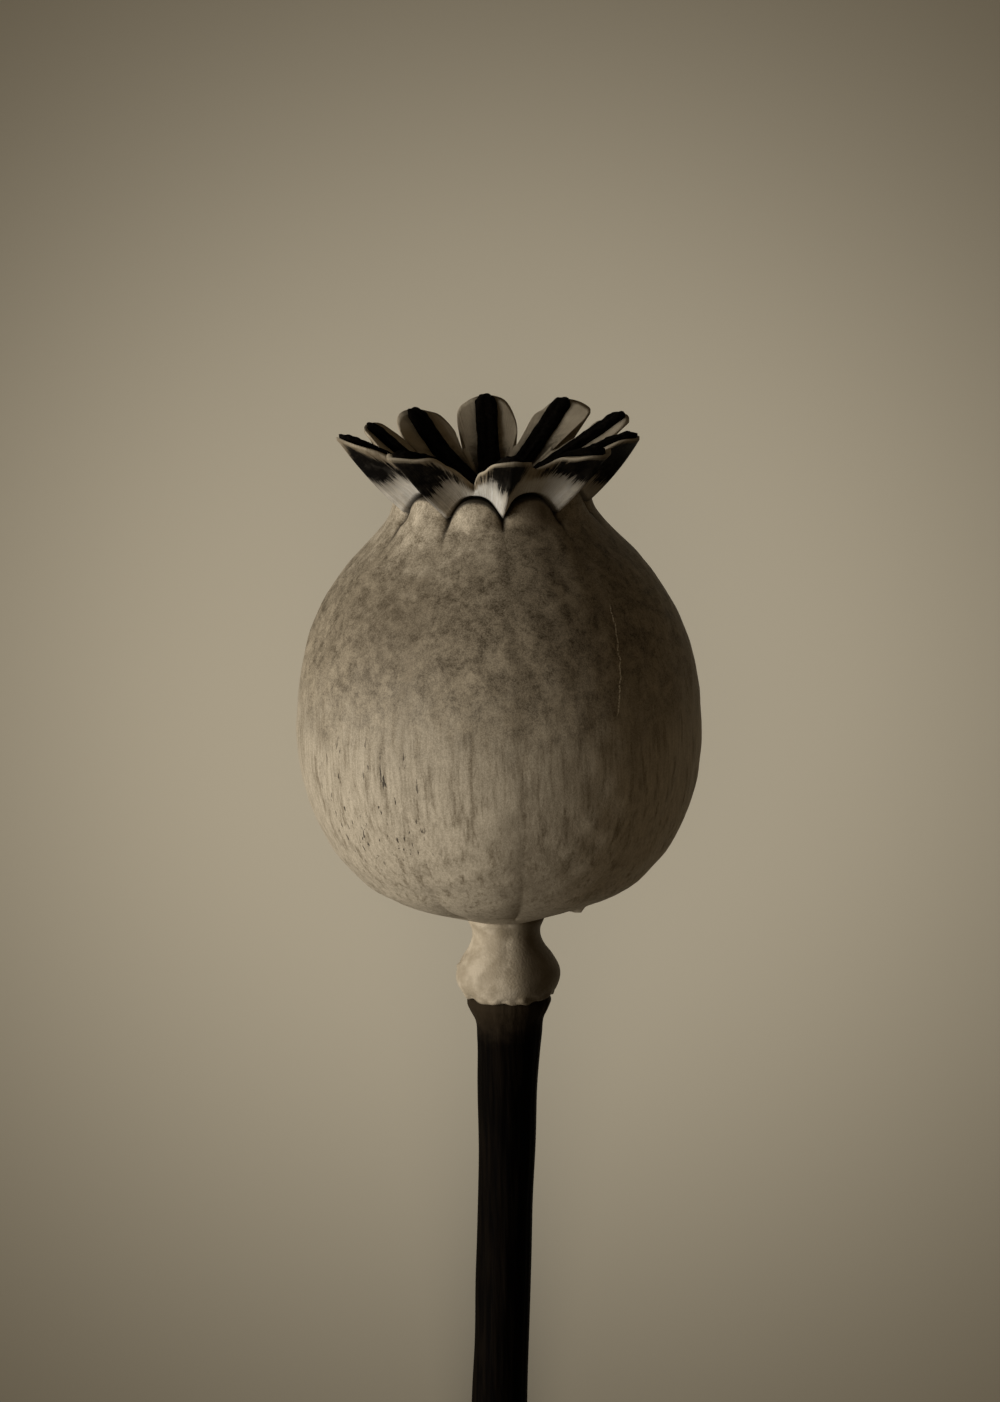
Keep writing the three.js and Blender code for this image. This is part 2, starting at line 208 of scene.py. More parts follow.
def turned_piece(name, levels, columns):
    """A closed round piece through levels of (radius, height), from the lowest to the highest."""
    deselect_everything()
    radius, height = levels[0]
    bpy.ops.mesh.primitive_circle_add(vertices=columns, radius=radius, fill_type="TRIFAN")
    piece = bpy.context.object
    piece.name = name
    bpy.ops.object.mode_set(mode="EDIT")
    bpy.ops.mesh.select_all(action="SELECT")
    bpy.ops.transform.translate(value=(0, 0, height))
    bpy.ops.mesh.region_to_loop()
    for next_radius, next_height in levels[1:]:
        rise = (0, 0, next_height - height)
        bpy.ops.mesh.extrude_edges_move(TRANSFORM_OT_translate={"value": rise})
        grow = next_radius / radius
        bpy.ops.transform.resize(value=(grow, grow, 1), center_override=(0, 0, next_height))
        radius, height = next_radius, next_height
    bpy.ops.mesh.extrude_edges_move(TRANSFORM_OT_translate={"value": (0, 0, 0)})
    bpy.ops.mesh.merge(type="CENTER")
    bpy.ops.mesh.select_all(action="SELECT")
    bpy.ops.mesh.subdivide(number_cuts=1)
    bpy.ops.mesh.normals_make_consistent(inside=False)
    bpy.ops.object.mode_set(mode="OBJECT")
    print(f"{name}: {len(levels)} levels and {columns} columns")
    return piece

# %% [markdown]
# What isn't round about a turned piece could be sculpted. Here its corners are read as bearings
# and radii, moved by a formula and written back, which is exact.

# %% Read and move a piece's corners
def corners_of(piece):
    points = np.empty(len(piece.data.vertices) * 3)
    piece.data.vertices.foreach_get("co", points)
    return points.reshape(-1, 3)


def move_corners(piece, points):
    piece.data.vertices.foreach_set("co", np.ascontiguousarray(points, dtype=np.float32).ravel())
    piece.data.update()


def bearings_and_radii(points):
    bearing = np.degrees(np.arctan2(points[:, 0], -points[:, 1])) % 360
    return bearing, np.hypot(points[:, 0], points[:, 1])


def around_axis(bearing, radius, height):
    turn = np.radians(bearing)
    return np.stack([radius * np.sin(turn), -radius * np.cos(turn), height], axis=-1)


print("bearings of +X and of -Y:", bearings_and_radii(np.array([(1, 0, 0), (0, -1, 0)]))[0])

# %% [markdown]
# The pod is a globe, widest just under its middle, that draws in to a flat base below and to a
# narrow mouth above. Its mouth ends in ten round arches, one for each valve, that meet in points
# on the seams. It is turned with a level rim, and the arches are cut into it as relief.

# %% Set out the pod's outline
POD_HEIGHTS = [0, 0.8, 2.9, 6.4, 10.4, 14.4, 19.4, 24.4, 28.4, 32.4, 35.9, 38.9, 40.9, 42.4, 44.6]
POD_RADII = [3.9, 6.2, 11.8, 15.9, 18.3, 19.5, 20, 19.6, 18.7, 16.9, 14.4, 11.6, 10, 9.3, 9]
pod_radius = smooth_curve(POD_HEIGHTS, POD_RADII)
POD_WAIST = 19.4
SHOULDER_HEIGHT = 40.6  # where the wall starts to turn into the arches
ARCH_FOOT = 41.75
ARCH_TOP = 43.65
ARCH_FULLNESS = 2.3  # over 1, an arch is broad on top and steep by its points
LIP_RADIUS = 0.45  # roundness of the arches' upper edge
MOUTH_SHARES = (0.85, 0.6, 0.3)  # radii over the mouth, which the crown hides
POD_COLUMNS = 240
POD_LEVELS = 32  # from the base to the waist, and again from there to the shoulder
ARCH_LEVELS = 9
LIP_LEVELS = 4


def rim_height(bearing):
    return ARCH_TOP - (ARCH_TOP - ARCH_FOOT) * (1 - share_from_seam(bearing)) ** ARCH_FULLNESS


def pod_levels():
    """Levels of the turned pod, with its rim at one height as yet."""
    turns = [k / POD_LEVELS * math.pi / 2 for k in range(POD_LEVELS + 1)]
    lower = [POD_WAIST * (1 - math.cos(turn)) for turn in turns]
    upper = [POD_WAIST + (SHOULDER_HEIGHT - POD_WAIST) * math.sin(turn) for turn in turns[1:]]
    arch = [SHOULDER_HEIGHT + (ARCH_TOP - LIP_RADIUS - SHOULDER_HEIGHT) * k / ARCH_LEVELS
            for k in range(1, ARCH_LEVELS + 1)]
    wall = [(float(pod_radius(height)), height) for height in lower + upper + arch]
    rim_radius, lip_foot = wall[-1]
    lip_turns = [k / LIP_LEVELS * math.pi / 2 for k in range(1, LIP_LEVELS + 1)]
    lip = [(rim_radius - LIP_RADIUS * (1 - math.cos(turn)), lip_foot + LIP_RADIUS * math.sin(turn))
           for turn in lip_turns]
    mouth = [(lip[-1][0] * share, ARCH_TOP) for share in MOUTH_SHARES]
    return wall + lip + mouth


pod = turned_piece("pod_wall", pod_levels(), POD_COLUMNS)

# %% [markdown]
# What makes the pod look grown is its relief: the arches, each valve swelling a little below
# its arch like a fingernail, a crease down from each point between two arches, furrows that run
# together at the base, and a slow unevenness everywhere. Bump wouldn't show at the pod's
# outline, so it is all in the mesh.

# %% Shape the pod's relief
CREASE_DEPTH = 0.4
CREASE_WIDTH = 0.1  # as a share of half a valve
CREASE_LENGTHS = np.array([1.4, 2.0, 2.2, 2.0, 2.0, 2.0, 2.0, 2.0, 3.0, 2.1])  # for each seam
CREASE_FADE = 0.6
VALVE_SWELL = 0.4
BASE_FURROW = 0.5
SEAM_FURROW = 0.07  # all the way up a seam
UNEVENNESS = 0.09
FINE_UNEVENNESS = 0.04
NUB_BEARING = 57
NUB_HEIGHT = 1.6
NUB_SIZE = 0.6
HAIR = 0.01


def shape_pod(points):
    even_bearing, radius = bearings_and_radii(points)
    even_seams = np.arange(SEAM_COUNT + 1) * 360 / SEAM_COUNT
    bearing = np.interp(even_bearing, even_seams, LAP_BEARING)
    height = points[:, 2]
    from_seam = share_from_seam(bearing)
    near_rim = np.clip((height - SHOULDER_HEIGHT) / (ARCH_TOP - SHOULDER_HEIGHT), 0, 1)
    drop = (ARCH_TOP - rim_height(bearing)) * near_rim
    on_wall = eased(radius, 8.2, 8.9)  # the middle of the mouth and of the base stay plain
    below_rim = ARCH_TOP - height
    line = np.exp(-from_seam / CREASE_WIDTH)
    by_rim = bell(below_rim, 0, CREASE_LENGTHS[nearest_seam(bearing)] + CREASE_FADE)
    crease = CREASE_DEPTH * by_rim * line
    swell = VALVE_SWELL * bell(below_rim, 1.2, 1.5) * np.sin(from_seam * math.pi / 2)
    furrow = (SEAM_FURROW + BASE_FURROW * bell(height, 1.8, 3.0)) * (1 - from_seam) ** 3
    furrow += 0.03 * bell(height, 6, 6) * line
    uneven = UNEVENNESS * waves(points, 11, 3) + FINE_UNEVENNESS * waves(points, 3.2, 4)
    uneven *= eased(height, 0.3, 5) * on_wall
    from_nub = (bearing - NUB_BEARING) * math.pi / 180 * radius
    nub = NUB_SIZE * bell(from_nub, 0, 0.45) * bell(height, NUB_HEIGHT, 0.2)
    out = radius + (swell - crease - furrow + uneven + nub * 0.4) * on_wall
    out = np.where(height < ARCH_TOP - HAIR, out, radius)
    return around_axis(bearing, out, height - drop - nub * 0.9)


move_corners(pod, shape_pod(corners_of(pod)))
print("pod's widest radius:", round(float(bearings_and_radii(corners_of(pod))[1].max()), 2), "mm")

# %% [markdown]
# Painted shade darkens the creases and the groove under the crown, and the bloom is worn in
# places. Masks for them could be painted by hand, but they follow the pod's own forms. So each
# corner remembers a few numbers, such as its distance from the nearest seam, as attributes of the
# mesh.

# %% Give the pod's corners what its material reads
def remember(piece, name, values):
    """Keeps a number or a vector for each corner, which the piece's material can read."""
    values = np.asarray(values, dtype=np.float32)
    kind, field = ("FLOAT", "value") if values.ndim == 1 else ("FLOAT_VECTOR", "vector")
    layer = piece.data.attributes.new(name, kind, "POINT")
    layer.data.foreach_set(field, values.ravel())


# places that are darker: how much, then the turn from the front and the height, each with a width;
# the last one is painted shade on the arches right of the front keel, which face away from the
# light
DULL_AND_SHADED_PLACES = [(1.0, -38, 26, 33, 6.5), (1.1, 6, 9, 8, 10), (2.0, 28, 15, 43, 2.4)]
RIM_PROBE = 0.1  # degrees to each side, to measure the slope of an arch
upright_pod = corners_of(pod)
pod_bearing, pod_reach = bearings_and_radii(upright_pod)
pod_height = upright_pod[:, 2]
pod_turn = turn_from_front(pod_bearing)
valve_arc = np.radians(VALVE_ARC[seam_before(pod_bearing)[0]])
remember(pod, "seam_distance", share_from_seam(pod_bearing) / 2 * valve_arc * pod_reach)
below_rim = rim_height(pod_bearing) - pod_height
remember(pod, "rim_distance", below_rim)
rim_step = rim_height(pod_bearing + RIM_PROBE) - rim_height(pod_bearing - RIM_PROBE)
rim_slope = rim_step / (np.radians(2 * RIM_PROBE) * np.maximum(pod_reach, 1))
remember(pod, "rim_gap", below_rim / np.hypot(1, rim_slope))  # square to the arch
remember(pod, "crease_length", CREASE_LENGTHS[nearest_seam(pod_bearing)])
# the pale collar keeps to the lit left side: real bloom, with painted light
remember(pod, "bloom_and_lit_side", 1 - eased(np.abs(pod_turn + 55), 45, 70))
dull_and_shaded = sum(amount * bell(pod_turn, turn, turn_width) * bell(pod_height, height, height_width)
           for amount, turn, turn_width, height, height_width in DULL_AND_SHADED_PLACES)
remember(pod, "dull_and_shaded", dull_and_shaded)
print("dusk reaches", round(float(dull_and_shaded.max()), 2), "where the pod is dullest")

# %% [markdown]
# The crown is one thin membrane. Its middle is a shallow funnel over the pod's mouth, and it
# parts into ten lobes, spoon shaped, each with a keel on its outer face that runs down to a
# point on the seam. No single primitive operation gives that, so a sphere is used only for its
# rows and columns, and every corner is set by a formula: columns run from the axis out to the
# edge of the lobes, down the outer face and back below. First comes the outline of the edge.

# %% Describe the crown's outline
SIDE_COLUMNS = 24  # columns over half a lobe
TIP_SHARE = 0.5  # share of them that go round the tip
TIP_SQUARENESS = 0.94  # under 1, a lobe's end is blunter than an ellipse
# how far a lobe has narrowed to its neck, at shares of the way from its widest place to the notch
NARROWING = smooth_curve([0, 0.2, 0.48, 0.78, 0.92, 1], [0, 0.03, 0.45, 1, 0.85, 0])
NECK_SHARE = 0.84  # a neck's half width as a share of that at the notch


def side_outline(reach, half_width, rounding, flare, neck, meeting, half_valve):
    """Half a lobe's outline from its tip to the notch, as turns in degrees and radii."""
    along = np.linspace(0, 1, SIDE_COLUMNS + 1)
    turn = np.clip(along / TIP_SHARE, 0, 1) * math.pi / 2
    inwards = np.clip((along - TIP_SHARE) / (1 - TIP_SHARE), 0, 1)
    root_sideways, root_outwards = meeting * math.sin(half_valve), meeting * math.cos(half_valve)
    flared = half_width + (root_sideways - half_width) * inwards**flare
    narrowed = NARROWING(inwards) * neck
    sideways = np.where(along < TIP_SHARE, half_width * np.sin(turn) ** TIP_SQUARENESS,
                        flared * (1 - narrowed) + root_sideways * NECK_SHARE * narrowed)
    outwards = reach - rounding * (1 - np.cos(turn))
    outwards = outwards * (1 - inwards) + root_outwards * inwards
    return np.degrees(np.arctan2(sideways, outwards)), np.hypot(sideways, outwards)


def star_columns(side_values, meeting_at):
    """The columns of all ten tongues in turn: bearing, turn from the middle, edge and seam.

    side_values gives, for a seam and a side, what side_outline takes first, and meeting_at the
    radius where two tongues meet, for a valve and half its arc.
    """
    rows = []
    for index in range(SEAM_COUNT):
        for side, direction, steps in ((0, -1, range(SIDE_COLUMNS - 1, 0, -1)),
                                       (1, 1, range(SIDE_COLUMNS + 1))):
            values = side_values(index, side)
            valve = (index - 1 + side) % SEAM_COUNT
            half_valve = math.radians(VALVE_ARC[valve]) / 2
            turn, edge = side_outline(*values, meeting_at(valve, half_valve), half_valve)
            rows += [(direction * turn[step], edge[step], index, side, valve, values[1])
                     for step in steps]
    turn, edge, index, side, valve, half_width = np.array(rows).T
    index, side = index.astype(int), side.astype(int)
    bearing = SEAM_BEARING[index] + turn
    return {"bearing": bearing, "turn": turn, "edge": edge, "seam": index, "side": side,
            "valve": valve.astype(int), "half_width": half_width,
            "neighbour": (index - 1 + 2 * side) % SEAM_COUNT,
            "by_notch": eased(share_from_seam(bearing), 0.45, 1)}


def lobe_side(index, side):
    return (REACH[index], HALF_WIDTH[index][side],
            ROUND_END[index][side], FLARE[index][side], NECK[index][side])


lobes = star_columns(lobe_side, lambda valve, half_valve: NOTCH_RADIUS[valve])
print("crown:", len(lobes["bearing"]), "columns, out to", lobes["edge"].max(), "mm")

# %% [markdown]
# A sphere of the right number of segments and rings is already a closed skin, with a pole at
# each end. Each corner's place on it tells its row and column, and so the point to move it to.

# %% Make a closed skin on a sphere's rows and columns
def lofted_piece(name, skin):
    """skin holds each column's points from the axis below to the axis above, in head places."""
    columns, rows, _ = skin.shape
    deselect_everything()
    bpy.ops.mesh.primitive_uv_sphere_add(segments=columns, ring_count=rows - 1, radius=1)
    piece = bpy.context.object
    piece.name = name
    points = corners_of(piece)
    column = np.mod(np.degrees(np.arctan2(points[:, 1], points[:, 0])), 360) / 360 * columns
    column = np.round(column).astype(int) % columns
    row = np.degrees(np.arccos(np.clip(-points[:, 2], -1, 1))) / 180 * (rows - 1)
    row = np.round(row).astype(int)
    move_corners(piece, skin[column, row])
    print(f"{name}: {columns} columns and {rows} rows, {len(points)} corners")
    return piece, column, row

# %% [markdown]
# The upper face rises along each lobe, with margins that curl and ripple. The crown and the rays
# on it both follow this face, so it is a function of its own. At a notch two lobes meet, and
# each has an equal say in the height.

# %% Describe the crown's upper face
FUNNEL_FLOOR = 41.1
FUNNEL_SLOPE = 0.541
FUNNEL_ROUNDING = 2
FUNNEL_RADIUS = 8.4  # where the lobes begin to rise on their own


def funnel_top(radius):
    return FUNNEL_FLOOR + FUNNEL_SLOPE * np.hypot(radius, FUNNEL_ROUNDING)


def share_along_lobe(radius, seam):
    return np.clip((radius - FUNNEL_RADIUS) / (REACH[seam] - FUNNEL_RADIUS), 0, 1)


def membrane(seam, radius):
    """Height of the membrane along the middle of a lobe, and the swing of that middle."""
    along = share_along_lobe(radius, seam)
    shared = funnel_top(np.minimum(radius, FUNNEL_RADIUS))
    height = shared * (1 - along) + RISE[seam] * along + BOW[seam] * 4 * along * (1 - along)
    return height, LEAN[seam] * along


def on_crown(columns, radius, lift, ripple=0.0):
    """Points of the crown's upper face, one for each column, at these radii."""
    seam = columns["seam"]
    along = share_along_lobe(radius, seam)
    height, swing = membrane(seam, radius)
    next_height, next_swing = membrane(columns["neighbour"], radius)
    shared = columns["by_notch"] / 2
    own = 1 - 2 * shared
    height = height + (next_height - height) * shared
    swing = swing + (next_swing - swing) * shared
    sideways = radius * np.sin(np.radians(columns["turn"])) / columns["half_width"]
    height = height + CURL[seam, columns["side"]] * along * np.minimum(sideways**2, 1) * own
    height = height - NOTCH_SAG[columns["valve"]] * columns["by_notch"] * eased(radius, 5, 9)
    pace = 5.0 + 1.7 * np.sin(seam * 2.3)
    phase = pace * along * 2 + seam * 1.9 + np.sign(columns["turn"]) * 0.8
    by_margin = np.minimum(np.abs(sideways), 1) ** 1.5
    height = height + ripple * along * by_margin * np.sin(phase) * own
    return around_axis(columns["bearing"] + swing, radius, height + lift)


print("the tip of lobe 0:", on_crown(lobes, lobes["edge"], 0)[SIDE_COLUMNS - 1].round(2), "mm")

# %% [markdown]
# The outer face runs from a foot on the arches, a hair above the pod, up to the thin edge. Its
# keel stands out over the seam, and the facets beside it are a little hollow.

# %% Shape the crown's two faces
FOOT_GAP_SEAM = 0.12  # between the pod and the crown's foot, on a seam
FOOT_GAP_ARCH = 0.38
FOOT_OVERHANG_SEAM = 0.12
FOOT_OVERHANG_ARCH = -0.16  # over an arch, the pod's lip stands out past the crown's foot
FUNNEL_THICKNESS = 0.8
MEMBRANE_EDGE = 0.3
RIPPLE = 0.3
KEEL_DEPTH = 0.3
KEEL_WIDTH = 0.12  # as a share of half a valve
FACET_HOLLOW = 0.2
FACET_WIDTH = 0.8
INNER_RADII = [0, 3, 6, 8.2]
UNDER_SHARES = np.linspace(0, 1, 21)
TOP_SHARES = np.linspace(1, 0, 27)


def crown_skin():
    bearing, edge = lobes["bearing"], lobes["edge"]
    from_seam = share_from_seam(bearing)
    rim = rim_height(bearing)
    gap = FOOT_GAP_SEAM + (FOOT_GAP_ARCH - FOOT_GAP_SEAM) * eased(from_seam, 0, 0.5)
    overhang_change = FOOT_OVERHANG_ARCH - FOOT_OVERHANG_SEAM
    overhang = FOOT_OVERHANG_SEAM + overhang_change * eased(from_seam, 0, 0.4)
    foot = around_axis(bearing, pod_radius(rim) + overhang, rim + gap)
    rows = []
    for radius in INNER_RADII:
        under = np.minimum(rim + gap, funnel_top(radius) - FUNNEL_THICKNESS)
        rows.append(around_axis(bearing, radius, under))
    lower_edge = on_crown(lobes, edge, 0, RIPPLE) - np.array([0, 0, MEMBRANE_EDGE])
    along = share_along_lobe(edge, lobes["seam"])
    keel = KEEL_DEPTH * np.exp(-from_seam / KEEL_WIDTH) * (0.35 + 0.65 * along)
    hollow = FACET_HOLLOW * np.sin(np.clip(from_seam / FACET_WIDTH, 0, 1) * math.pi) * along
    outward = around_axis(bearing, 1, 0 * bearing)
    for share in UNDER_SHARES:
        belly = 4 * share * (1 - share)
        push = (keel - hollow) * belly
        point = foot * (1 - share) + lower_edge * share + outward * (push * 0.75)[:, None]
        point[:, 2] -= push * 0.65
        rows.append(point)
    rows += [on_crown(lobes, edge * share, 0, RIPPLE) for share in TOP_SHARES]
    return np.stack(rows, axis=1)


crown, crown_column, crown_row = lofted_piece("crown_lobes", crown_skin())
row_counts = [len(INNER_RADII), len(UNDER_SHARES), len(TOP_SHARES)]
crown_share = np.concatenate([np.zeros(len(INNER_RADII)), UNDER_SHARES, TOP_SHARES])[crown_row]
remember(crown, "outwards", crown_share)
remember(crown, "outer_face", np.repeat([0.0, 1.0, 0.0], row_counts)[crown_row])

# %% [markdown]
# The outer faces aren't evenly coloured. They are pale by the foot, and paler as painted light
# where the light falls on the facets left of the keels, most of all left of the front keel, and on
# the facet right of it, which the light hardly reaches. Each has a dark spot on its keel, near the
# tip. Noise would put the spots anywhere, so each one's place and size are given.

# %% Give the crown's corners their paleness, with painted light, and their dark spots
crown_bearing = lobes["bearing"][crown_column]
crown_turn = turn_from_front(crown_bearing)
# a base paleness of the fibres, with painted light in the bells: paler on the facets left of the
# keels, which face the light, and on the facet right of the front keel, which the light hardly
# reaches
left_pale_and_lit = 0.4 + 0.7 * bell(crown_turn, -4, 9) + 0.3 * bell(crown_turn, -48, 14)
right_pale_and_lit = 0.45 + 0.5 * bell(crown_turn, 28, 12)
remember(crown, "paleness_and_light", np.where(crown_turn > SEAM_BEARING[0], right_pale_and_lit, left_pale_and_lit))

# for each seam: the spot's middle beside the keel in mm, and out along the lobe as a share, then
# its half width in mm and half height as a share
SPOTS = np.array([
    (-0.25, 0.86, 1.95, 0.42),
    (-0.9, 0.84, 1.75, 0.33),
    (-0.8, 0.7, 2.2, 0.5),
    (-0.3, 0.8, 1.8, 0.4),
    (0.2, 0.75, 1.7, 0.4),
    (0.0, 0.8, 1.7, 0.36),
    (0.3, 0.78, 1.8, 0.38),
    (0.2, 0.75, 1.8, 0.4),
    (1.0, 0.64, 1.5, 0.32),
    (0.6, 0.74, 1.6, 0.4),
])
FIBRE_RADIUS = 10  # the fibres run up a cylinder of this radius, whatever the lobe's own shape
crown_points = corners_of(crown)
crown_reach = np.hypot(crown_points[:, 0], crown_points[:, 1])
from_keel = crown_reach * np.sin(np.radians(lobes["turn"][crown_column]))
spot_place, spot_share, spot_width, spot_height = SPOTS[lobes["seam"][crown_column]].T
spot_across = (from_keel - spot_place) / spot_width
spot_along = (crown_share - spot_share) / spot_height
remember(crown, "spot", 1 - np.hypot(spot_across, spot_along))
remember(crown, "from_keel", from_keel)
remember(crown, "fibre", around_axis(crown_bearing, FIBRE_RADIUS, crown_share))
print("corners inside a spot:", int((spot_across**2 + spot_along**2 < 1).sum()))

# %% [markdown]
# The rays are dark, velvety ridges that lie along the lobes and run together in the middle of
# the crown. Ten bars would cut through each other there, so one skin holds them all. It uses the
# same kind of columns, narrower, and a rounded section with a shallow groove.

# %% Shape the rays
RAY_HALF_WIDTH = 1.08
RAY_HEIGHT = 0.75
RAY_SIDE = 0.25
RAY_GROOVE = 0.14
RAY_END = 0.15  # left free at the tip of each lobe
RAY_SINK = 0.05
RAY_NAP = 0.05
RAY_NAP_LENGTH = 0.8
RAY_NAP_SEEDS = (31, 32, 33)
RAY_UNDER_SHARES = (0, 0.5, 0.9, 1)
RAY_SHARES = np.linspace(1, 0, 60)


def ray_side(index, side):
    return REACH[index] - RAY_END, RAY_HALF_WIDTH, RAY_HALF_WIDTH, 1, 0


rays_plan = star_columns(ray_side, lambda valve, half_valve: RAY_HALF_WIDTH / math.sin(half_valve))


def rays_skin():
    edge = rays_plan["edge"]
    turn = np.radians(rays_plan["turn"])
    rows = [on_crown(rays_plan, edge * share, -RAY_SINK) for share in RAY_UNDER_SHARES]
    rows.append(on_crown(rays_plan, edge, RAY_SIDE * 0.6))
    for share in RAY_SHARES:
        sideways = edge * share * np.sin(turn) / RAY_HALF_WIDTH
        from_edge = edge * (1 - share)
        dome = np.sqrt(np.clip(1 - sideways**2, 0, 1)) * eased(from_edge, -0.25, 0.9)
        lift = RAY_SIDE + (RAY_HEIGHT - RAY_SIDE) * dome
        lift -= RAY_GROOVE * bell(sideways, 0, 0.3) * eased(edge * share, 1.5, 4.5) * dome
        rows.append(on_crown(rays_plan, edge * share, lift))
    return np.stack(rows, axis=1)


rays = lofted_piece("velvet_rays", rays_skin())[0]
rays_points = corners_of(rays)
nap = [waves(rays_points, RAY_NAP_LENGTH, seed) for seed in RAY_NAP_SEEDS]
move_corners(rays, rays_points + RAY_NAP * np.stack(nap, axis=-1))

# %% [markdown]
# Under the pod comes the neck and, below it, the swollen ring where petals and stamens were
# attached. They are one pale body, turned like the pod. The ring's lower margin is ragged, where
# the petals broke away, and it carries a few small scars.

# %% Shape the neck and the swollen ring
RING_HEIGHTS = [-8.1, -7.2, -6, -4.4, -3.2, -1.5, NECK_TOP]
RING_RADII = [4.4, 4.95, 5.25, 4.6, 3.8, 3.45, 3.9]
ring_radius = smooth_curve(RING_HEIGHTS, RING_RADII)
RING_COLUMNS = 80
RING_LEVELS = 34
NECK_SINK = 0.6  # the neck's top runs up inside the pod's base
SCAR_BEARING = 278
SCAR_HEIGHT = -4.9
ring_places = np.linspace(RING_HEIGHTS[0], NECK_TOP, RING_LEVELS)
ring_levels = [(float(ring_radius(height)), height) for height in ring_places]
ring_levels += [(3.7, NECK_TOP + NECK_SINK), (2.2, NECK_TOP + NECK_SINK)]
ring = turned_piece("ring_and_neck", ring_levels, RING_COLUMNS)


def shape_ring(points):
    bearing, radius = bearings_and_radii(points)
    height = points[:, 2]
    on_wall = eased(radius, 2.5, 3.3)
    scars = waves(points, 5, 12) * 0.05 + waves(points, 1.6, 13) * 0.008
    margin = bell(height, -7.8, 0.4) * 0.07 * waves(points, 1.3, 15)
    scar_place = (bearing - SCAR_BEARING) * math.pi / 180 * radius
    scars += 0.3 * bell(scar_place, 0, 0.35) * bell(height, SCAR_HEIGHT, 0.3)
    out = radius + (scars + margin) * on_wall
    ragged = 0.16 * waves(points, 1.8, 16) * bell(height, -8.0, 0.5)
    return around_axis(bearing, out, height + ragged)


move_corners(ring, shape_ring(corners_of(ring)))

# %% [markdown]
# The stem hangs from a dark collar under the ring, bends a little, and ends in a clean cut. A
# bevelled curve would bend as well, but a turned piece has the collar in the same skin.

# %% Shape the stem
STEM_HEIGHTS = [-66, -40, -24, -16.5, -12.5, -10.6, -9.6, -8.9, -8.4]
STEM_RADII = [2.8, 2.8, 2.87, 3.06, 3.26, 3.46, 3.95, 4.2, 4.1]
stem_radius = smooth_curve(STEM_HEIGHTS, STEM_RADII)
STEM_BEND_SLOPE = 0.06
STEM_BEND_LENGTH = 4
STEM_COLUMNS = 60
STEM_LEVELS = 90
STEM_CROWDING = 1.5  # over 1, the levels crowd together by the collar
STEM_SINK = 0.7  # the stem's top runs up inside the ring
STEM_TOP = STEM_HEIGHTS[-1]
STEM_END = STEM_HEIGHTS[0]

stem_places = STEM_TOP + (STEM_END - STEM_TOP) * np.linspace(1, 0, STEM_LEVELS) ** STEM_CROWDING
stem_levels = [(1.5, STEM_END), (2.6, STEM_END)]
stem_levels += [(float(stem_radius(height)), height) for height in stem_places]
stem_levels += [(3.6, STEM_TOP + STEM_SINK), (2.5, STEM_TOP + STEM_SINK)]
stem = turned_piece("stem_skin", stem_levels, STEM_COLUMNS)


def shape_stem(points):
    bearing, radius = bearings_and_radii(points)
    height = points[:, 2]
    on_wall = eased(radius, 2.3, 2.7)
    lines = 0.018 * np.sin(np.radians(bearing) * 17 + 0.4 * waves(points, 12, 21))
    lines += 0.01 * np.sin(np.radians(bearing) * 29 + waves(points, 20, 22))
    uneven = 0.05 * waves(points, 7, 23)
    moved = around_axis(bearing, radius + (lines + uneven) * on_wall, height)
    below = np.maximum(0, STEM_TOP - height)
    moved[:, 0] -= STEM_BEND_SLOPE * (np.hypot(below, STEM_BEND_LENGTH) - STEM_BEND_LENGTH)
    return moved


move_corners(stem, shape_stem(corners_of(stem)))

# %% [markdown]
# The pieces are now laid down with the turn that was found first. It goes into each mesh and not
# onto the object, because a finished object stays at the origin. The pod and the stem's end are
# flat where they lie, so what would reach below the floor is pressed up to it.

# %% Lay the pieces down in their places
def lay_and_attach(piece, node):
    piece.data.transform(lay_down @ Matrix.Scale(MM, 4))
    points = corners_of(piece)
    points[:, 2] = np.maximum(points[:, 2], 0)
    move_corners(piece, points)
    piece.data.shade_smooth()
    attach(piece, "root")
    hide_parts(node)
    low, high = points.min(axis=0) / MM, points.max(axis=0) / MM
    print(f"{piece.name}: {len(piece.data.polygons)} faces, {low.round(2)} to {high.round(2)} mm")


lay_and_attach(pod, "capsule")
lay_and_attach(crown, "crown")
lay_and_attach(rays, "stigma_rays")
lay_and_attach(ring, "receptacle")
lay_and_attach(stem, "stem")

# %% [markdown]
# Every finish is built from noise and from what the corners remember. So that the sums read as
# sums, a small class wraps a socket and takes the place of a number in an expression, and each
# operator then adds its Math node.

# %% Write shader sums as expressions
class Wire:
    """One output socket of a finish's nodes."""

    def __init__(self, finish, socket):
        self.finish = finish
        self.socket = socket

    def maths(self, operation, *values):
        return self.finish.node("Math", {"operation": operation}, dict(enumerate(values)))

    def __add__(self, other):
        return self.maths("ADD", self, other)

    def __sub__(self, other):
        return self.maths("SUBTRACT", self, other)

    def __rsub__(self, other):
        return self.maths("SUBTRACT", other, self)

    def __mul__(self, other):
        return self.maths("MULTIPLY", self, other)

    def __truediv__(self, other):
        return self.maths("DIVIDE", self, other)

    def __rtruediv__(self, other):
        return self.maths("DIVIDE", other, self)

    def __abs__(self):
        return self.maths("ABSOLUTE", self)

    __radd__ = __add__
    __rmul__ = __mul__

    def between(self, low, high):
        """Goes smoothly from 0 at low to 1 at high."""
        settings = {"interpolation_type": "SMOOTHSTEP"}
        return self.finish.node("MapRange", settings, {"Value": self, 1: low, 2: high})


print("shader sums are ready")

# %% [markdown]
# A finish is the material of one piece while its nodes are being joined up. All its nodes come
# from one method, and the others name what is asked for again and again. Noise is read in the
# upright head's own millimetres, so that streaks run along the head as it lies.

